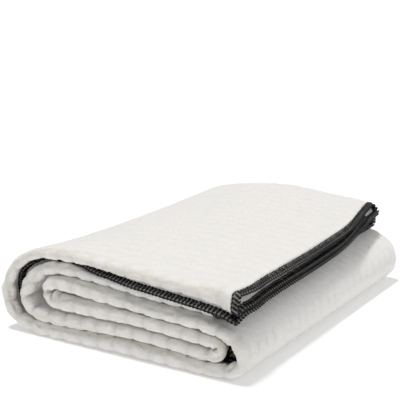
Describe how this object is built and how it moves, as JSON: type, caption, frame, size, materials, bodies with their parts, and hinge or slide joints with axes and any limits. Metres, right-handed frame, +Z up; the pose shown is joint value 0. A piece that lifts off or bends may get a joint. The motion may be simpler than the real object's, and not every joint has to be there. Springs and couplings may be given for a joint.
{
  "type": "folded microfiber drying towel",
  "caption": "White waffle microfiber drying towel with a black overlocked edge, lying folded into a thick rectangular pile with its free end on top.",
  "frame": {"origin": "middle of the folded pile's footprint, on the surface that it rests on", "axes": "+Z up from the surface; +X to the right along the front, towards the free end; +Y from the front folds to the back folds"},
  "size_m": [0.1685, 0.2102, 0.056],
  "materials": {
    "waffle_cloth": "soft matt waffle pile",
    "overlock_thread": "glossy polyester thread"
  },
  "bodies": {
    "root": {"waffle_cloth": "waffle_cloth", "overlocked_band": "overlock_thread"}
  },
  "joints": []
}
